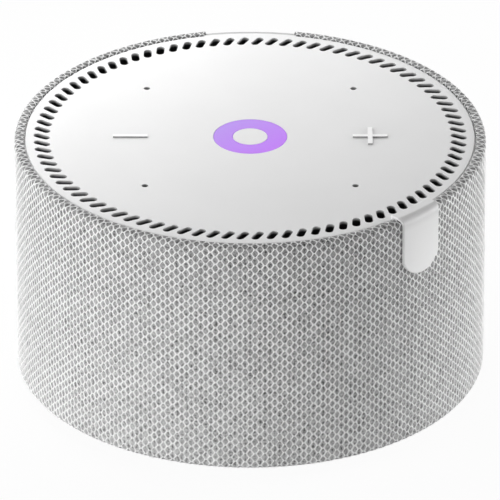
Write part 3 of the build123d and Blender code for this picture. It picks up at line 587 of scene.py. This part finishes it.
def shade_rear_lip(tree, colour, reach, away, level):
    """Painted shade that greys the edge of the lip above the rear panel."""
    painted_lip_shade = 0.62
    past_edge = spread(tree, reach, 0.0, 1.0, cover_radius - 0.2 * MM, cover_radius + 0.5 * MM)
    near_top = spread(tree, level, 0.0, 1.0, cover_face - 0.8 * MM, cover_face - 0.4 * MM)
    at_rear = spread(tree, away, 0.0, painted_lip_shade, 44 * MM, 46 * MM)
    # Painted shade on the lip's rounded edge at the rear
    return darkened(tree, colour, product(tree, past_edge, near_top, at_rear))


def shade_fold(tree, colour, reach, away, level):
    """Painted shade in the fold where the tab's strap turns down over the rim, fading out along the tab."""
    painted_fold_shades = [(0.0, grey(0.0)), (0.73, grey(0.08)), (0.93, grey(0.24)), (0.97, grey(0.14))]
    past_rim = spread(tree, reach, 0.0, 1.0, body_radius - 1.0 * MM, body_radius - 0.6 * MM)
    in_front = spread(tree, away, 1.0, 0.0, -10 * MM, -5 * MM)
    height = spread(tree, level, 0.0, 1.0, sleeve_top - 11 * MM, sleeve_top + 1 * MM)
    # Painted shade in the strap's fold
    return darkened(tree, colour, product(tree, past_rim, in_front, ramp(tree, height, painted_fold_shades)))


def cover_white():
    """White satin plastic, faintly clouded, with painted shade at its marks, holes, rear lip and tab."""
    finish, tree, shader = new_finish("cover_white", Specular_IOR_Level=0.5)
    place = object_place(tree)
    parts = separated(tree, place)
    away = parts["Y"]
    level = parts["Z"]
    reach = axis_distance(tree, parts)
    inside = spread(tree, reach, 1.0, 0.0, cover_radius - 1.0 * MM, cover_radius - 0.9 * MM)
    cloud = speckle(tree, place, 30 * MM, 2.0)
    colour = ramp(tree, cloud, [(0.35, grey(0.75)), (0.65, grey(0.78))])
    # Painted shade at the marks' sides, the holes' walls, the rear lip and the tab's fold
    colour = shade_marks(tree, colour, inside, level)
    colour = shade_holes(tree, colour, inside, reach, level)
    colour = shade_rear_lip(tree, colour, reach, away, level)
    colour = shade_fold(tree, colour, reach, away, level)
    tree.links.new(colour, shader.inputs["Base Color"])
    fine = speckle(tree, place, 0.15 * MM, 2.0)
    tree.links.new(spread(tree, fine, 0.36, 0.46), shader.inputs["Roughness"])
    raise_grain(tree, shader, fine, 0.003 * MM)
    return finish


def light_purple():
    """Lit purple ring, a little redder towards the front right."""
    finish, tree, shader = new_finish("light_purple", Roughness=0.4, Emission_Strength=1.0)
    change_reach = 9 * MM
    parts = separated(tree, object_place(tree))
    slope = maths(tree, "SUBTRACT", parts["X"], parts["Y"])
    way = spread(tree, slope, 0.0, 1.0, -change_reach, change_reach)
    glow = ramp(tree, way, [(0.0, (0.20, 0.06, 0.465)), (1.0, (0.225, 0.015, 0.50))])
    skin = ramp(tree, way, [(0.0, (0.14, 0.080, 0.24)), (1.0, (0.15, 0.055, 0.26))])
    tree.links.new(glow, shader.inputs["Emission Color"])
    tree.links.new(skin, shader.inputs["Base Color"])
    return finish


def yarn_white():
    """Pale yarn with fine fibres, a little darker in the knots between the holes."""
    finish, tree, shader = new_finish(
        "yarn_white", Specular_IOR_Level=0.2, Sheen_Weight=0.15, Sheen_Roughness=0.5
    )
    knot_shade = 0.1
    cloth = cloth_place(tree)
    waves = product(tree, whole_waves(tree, cloth["X"]), whole_waves(tree, cloth["Y"]))
    fibre = speckle(tree, object_place(tree), 0.16 * MM)
    colour = ramp(tree, fibre, [(0.3, grey(0.72)), (0.7, grey(0.85))])
    colour = darkened(tree, colour, spread(tree, waves, 0.0, knot_shade))
    tree.links.new(colour, shader.inputs["Base Color"])
    tree.links.new(spread(tree, fibre, 0.75, 0.95), shader.inputs["Roughness"])
    raise_grain(tree, shader, fibre, 0.05 * MM)
    return finish


def ground_grey():
    """Grey ground cloth with paler upright ribs, mottled, with painted shade that darkens it towards the
    top.
    """
    finish, tree, shader = new_finish("ground_grey", Specular_IOR_Level=0.1)
    rib_shade = 0.06
    painted_height_shades = [(0.0, grey(1.0)), (0.6, grey(0.86)), (0.9, grey(0.76)), (1.0, grey(0.7))]
    place = object_place(tree)
    fluff = speckle(tree, place, 0.45 * MM)
    ribs = spread(tree, whole_waves(tree, cloth_place(tree)["X"]), rib_shade, -rib_shade, -1.0, 1.0)
    mottled = maths(tree, "ADD", ribs, fluff)
    colour = ramp(tree, mottled, [(0.28, grey(0.09)), (0.42, grey(0.33)), (0.72, grey(0.59))])
    # Painted shade: the cloth darkens towards the top of the sleeve
    rise = spread(tree, separated(tree, place)["Z"], 0.0, 1.0, sleeve_foot, sleeve_top)
    colour = tinted(tree, colour, ramp(tree, rise, painted_height_shades))
    tree.links.new(colour, shader.inputs["Base Color"])
    tree.links.new(spread(tree, fluff, 0.85, 1.0), shader.inputs["Roughness"])
    raise_grain(tree, shader, fluff, 0.08 * MM)
    return finish


def dress(finish, *names):
    """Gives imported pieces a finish."""
    for name in names:
        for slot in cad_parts[name].material_slots:
            slot.material = finish


def dress_outside():
    """Finishes of the pieces outside and of the cloth behind the slots."""
    dress(cover_white(), "top_cover", "centre_cap", "rear_panel", "mute_knob")
    dress(light_purple(), "light_window")
    dress(
        grained("scrim_black", grey(0.006), grey(0.016), 0.5 * MM, (0.85, 1.0), 0.1 * MM),
        "slot_scrim",
    )
    dress(
        grained("base_grey", grey(0.40), grey(0.46), 0.3 * MM, (0.5, 0.62), 0.02 * MM),
        "base_plate",
    )
    dress(
        grained("foot_rubber", grey(0.30), grey(0.36), 0.25 * MM, (0.75, 0.9), 0.03 * MM),
        "rubber_foot",
    )


def dress_structure():
    """Finishes of the inner shells, screws, seals and pads."""
    dress(
        grained("inner_black", grey(0.018), grey(0.03), 0.3 * MM, (0.45, 0.6), 0.02 * MM),
        "grille_shell", "chamber_cup", "baffle", "top_frame",
    )
    dress(
        grained("screw_steel", grey(0.42), grey(0.58), 0.4 * MM, (0.25, 0.4), 0.01 * MM, Metallic=1.0),
        "base_screws", "chamber_screws", "baffle_screws", "driver_screws", "cover_screws", "board_screws",
    )
    dress(
        grained("seal_foam", grey(0.02), grey(0.05), 0.3 * MM, (0.9, 1.0), 0.1 * MM),
        "chamber_seal", "driver_gasket",
    )
    dress(
        grained("soft_rubber", grey(0.015), grey(0.03), 0.2 * MM, (0.6, 0.75), 0.02 * MM),
        "driver_surround", "lead_grommet", "mic_gaskets",
    )
    dress(
        grained("foam_grey", grey(0.12), grey(0.2), 0.3 * MM, (0.9, 1.0), 0.1 * MM),
        "touch_pads",
    )


def dress_driver():
    """Finishes of the driver and its leads."""
    dress(
        grained("basket_steel", grey(0.03), grey(0.05), 0.3 * MM, (0.4, 0.5), 0.02 * MM),
        "driver_basket",
    )
    dress(
        grained("yoke_steel", grey(0.35), grey(0.45), 0.6 * MM, (0.35, 0.5), 0.01 * MM, Metallic=1.0),
        "driver_yoke", "driver_pole_plate",
    )
    dress(
        grained("magnet_nickel", grey(0.55), grey(0.65), 0.8 * MM, (0.2, 0.3), 0.005 * MM, Metallic=1.0),
        "driver_magnet",
    )
    dress(
        grained(
            "coil_copper", (0.55, 0.25, 0.12), (0.7, 0.34, 0.18), 0.2 * MM, (0.3, 0.45), 0.02 * MM,
            Metallic=1.0,
        ),
        "voice_coil",
    )
    dress(
        grained("cone_paper", grey(0.02), grey(0.04), 0.5 * MM, (0.85, 1.0), 0.05 * MM),
        "driver_cone", "dust_cap",
    )
    dress(
        grained("spider_cloth", (0.42, 0.26, 0.10), (0.5, 0.32, 0.14), 0.4 * MM, (0.85, 1.0), 0.08 * MM),
        "driver_spider",
    )
    dress(
        grained("fibre_tan", (0.3, 0.2, 0.1), (0.36, 0.25, 0.13), 0.5 * MM, (0.7, 0.85), 0.02 * MM),
        "driver_terminal",
    )
    dress(
        grained("lead_sheath", grey(0.02), grey(0.035), 0.4 * MM, (0.4, 0.55), 0.01 * MM),
        "speaker_leads",
    )


def dress_electronics():
    """Finishes of the boards and what is on them."""
    dress(
        grained("board_green", (0.01, 0.08, 0.035), (0.015, 0.12, 0.05), 1.5 * MM, (0.3, 0.4), 0.01 * MM),
        "main_board", "touch_board",
    )
    dress(
        grained("chip_black", grey(0.012), grey(0.02), 0.2 * MM, (0.5, 0.65), 0.01 * MM),
        "board_chips", "mic_capsules", "mute_switch_body", "usb_socket_tongue",
    )
    dress(
        grained("tin_steel", grey(0.55), grey(0.66), 0.7 * MM, (0.3, 0.42), 0.005 * MM, Metallic=1.0),
        "shield_can", "wifi_antennas", "usb_socket_shell",
    )
    dress(
        grained("spreader_metal", grey(0.6), grey(0.7), 0.9 * MM, (0.35, 0.5), 0.01 * MM, Metallic=1.0),
        "heat_spreader",
    )
    dress(
        grained("pad_blue", (0.12, 0.25, 0.45), (0.16, 0.3, 0.5), 0.4 * MM, (0.7, 0.85), 0.02 * MM),
        "thermal_pad",
    )
    dress(
        grained("lamp_clear", grey(0.7), grey(0.8), 0.4 * MM, (0.2, 0.3), 0.005 * MM),
        "status_leds",
    )
    dress(
        grained("well_white", grey(0.75), grey(0.82), 0.4 * MM, (0.5, 0.6), 0.01 * MM),
        "light_well",
    )
    dress(
        grained("plug_cream", (0.62, 0.55, 0.42), (0.7, 0.63, 0.5), 0.4 * MM, (0.4, 0.5), 0.01 * MM),
        "ribbon_plugs", "lead_header",
    )
    dress(
        grained("ribbon_film", (0.35, 0.15, 0.03), (0.45, 0.2, 0.05), 0.8 * MM, (0.3, 0.4), 0.005 * MM),
        "ribbon_cable",
    )


def make_sleeve():
    """Ground cloth and net in place of the plain sleeve."""
    net = make_net()
    ground = make_ground()
    yarn = yarn_white()
    for piece in net:
        piece.data.materials.append(yarn)
        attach(piece, "speaker_body")
    ground.data.materials.append(ground_grey())
    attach(ground, "speaker_body")
    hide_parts("fabric_sleeve")
    for piece in net:
        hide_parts("fabric_sleeve")


def make_soft_rings():
    """Surround and spider in sectors, in place of the imported solids."""
    basket_inside = cone_radius + surround_span
    make_soft_ring("surround_sector", "driver_surround", surround_section(), basket_inside)
    basket_seat = spider_high.x - spider_edge
    make_soft_ring("spider_sector", "driver_spider", spider_section(), basket_seat)


# Studio

def aim(thing, place, target):
    """Puts a lamp or camera at a place and points it at a target."""
    thing.location = place
    thing.rotation_euler = (Vector(target) - Vector(place)).to_track_quat("-Z", "Y").to_euler()


def make_camera():
    """Camera of the photograph: long lens, straight in front, looking down."""
    rise = math.radians(28.45)
    distance = 1.946
    target = (0.0, 0.0, 0.0278)
    data = bpy.data.cameras.new("camera")
    data.sensor_width = 36.0
    data.lens = 670.5
    data.shift_x = -0.0004
    data.shift_y = -0.0074
    camera = bpy.data.objects.new("camera", data)
    bpy.context.scene.collection.objects.link(camera)
    place = (0.0, -distance * math.cos(rise), target[2] + distance * math.sin(rise))
    aim(camera, place, target)
    bpy.context.scene.camera = camera


def around_object(turn, rise, distance):
    """Place at an angle round the object from +X, an angle above its middle and a distance."""
    middle_height = 0.03
    turn = math.radians(turn)
    rise = math.radians(rise)
    level = distance * math.cos(rise)
    height = middle_height + distance * math.sin(rise)
    return (level * math.cos(turn), level * math.sin(turn), height)


def make_lamp(name, turn, rise, distance, size, power):
    """Square soft lamp round the object that points at its upper half."""
    target = (0.0, 0.0, 0.04)
    data = bpy.data.lights.new(name, "AREA")
    data.shape = "SQUARE"
    data.size = size
    data.energy = power
    lamp = bpy.data.objects.new(name, data)
    lamp.visible_camera = False
    bpy.context.scene.collection.objects.link(lamp)
    aim(lamp, around_object(turn, rise, distance), target)


def seen_rays(tree):
    """One for camera, glossy and transmission rays, and zero for the light that falls on things."""
    path = add_node(tree, "ShaderNodeLightPath")
    seen = maths(tree, "MAXIMUM", path.outputs["Is Camera Ray"], path.outputs["Is Glossy Ray"])
    return maths(tree, "MAXIMUM", seen, path.outputs["Is Transmission Ray"])


def make_world(level):
    """Even pale surroundings that look white and give light of a lower level."""
    world = bpy.data.worlds.new("surroundings")
    world.use_nodes = True
    tree = world.node_tree
    sky = tree.nodes["Background"]
    sky.inputs["Color"].default_value = (1.0, 1.0, 1.0, 1.0)
    tree.links.new(spread(tree, seen_rays(tree), level, 1.0), sky.inputs["Strength"])
    bpy.context.scene.world = world


def floor_pale():
    """Paint that looks almost white and keeps a faint shadow. It is clear from below."""
    paint_grey = 0.86
    white_share = 0.95
    finish = bpy.data.materials.new("floor_pale")
    finish.use_nodes = True
    tree = finish.node_tree
    tree.nodes.clear()
    paint = add_node(tree, "ShaderNodeBsdfDiffuse", {"Color": (*grey(paint_grey), 1.0)})
    white = add_node(tree, "ShaderNodeEmission", {"Color": (1.0, 1.0, 1.0, 1.0), "Strength": 1.0})
    lit = add_node(tree, "ShaderNodeMixShader")
    clear = add_node(tree, "ShaderNodeBsdfTransparent")
    sided = add_node(tree, "ShaderNodeMixShader")
    back = add_node(tree, "ShaderNodeNewGeometry")
    out = add_node(tree, "ShaderNodeOutputMaterial")
    tree.links.new(maths(tree, "MULTIPLY", seen_rays(tree), white_share), lit.inputs[0])
    tree.links.new(paint.outputs[0], lit.inputs[1])
    tree.links.new(white.outputs[0], lit.inputs[2])
    tree.links.new(back.outputs["Backfacing"], sided.inputs[0])
    tree.links.new(lit.outputs[0], sided.inputs[1])
    tree.links.new(clear.outputs[0], sided.inputs[2])
    tree.links.new(sided.outputs[0], out.inputs["Surface"])
    return finish


def make_floor():
    """Square floor under the object."""
    reach = 4.0
    side = np.array([-reach, reach])
    x, y = np.meshgrid(side, side, indexing="ij")
    points = np.stack([x.ravel(), y.ravel(), np.zeros(4)], -1)
    floor = new_mesh("floor", points, np.array([[0, 2, 3, 1]]))
    floor.data.materials.append(floor_pale())


def make_studio():
    """Camera, floor, surroundings and lamps."""
    make_camera()
    make_floor()
    make_world(level=0.05)
    make_lamp("key", turn=135, rise=40.5, distance=0.172, size=0.10, power=0.2)
    make_lamp("back", turn=88, rise=28, distance=0.25, size=0.15, power=0.125)
    make_lamp("left", turn=206, rise=8, distance=0.7, size=0.40, power=5.3)
    make_lamp("front", turn=276, rise=5, distance=0.7, size=0.40, power=1.68)
    make_lamp("right_front", turn=345, rise=4, distance=0.7, size=0.40, power=1.6)
    make_lamp("right_back", turn=24, rise=5, distance=0.7, size=0.40, power=5.9)
    bpy.context.scene.view_settings.view_transform = "Standard"


dress_outside()
dress_structure()
dress_driver()
dress_electronics()
make_sleeve()
make_soft_rings()
make_studio()
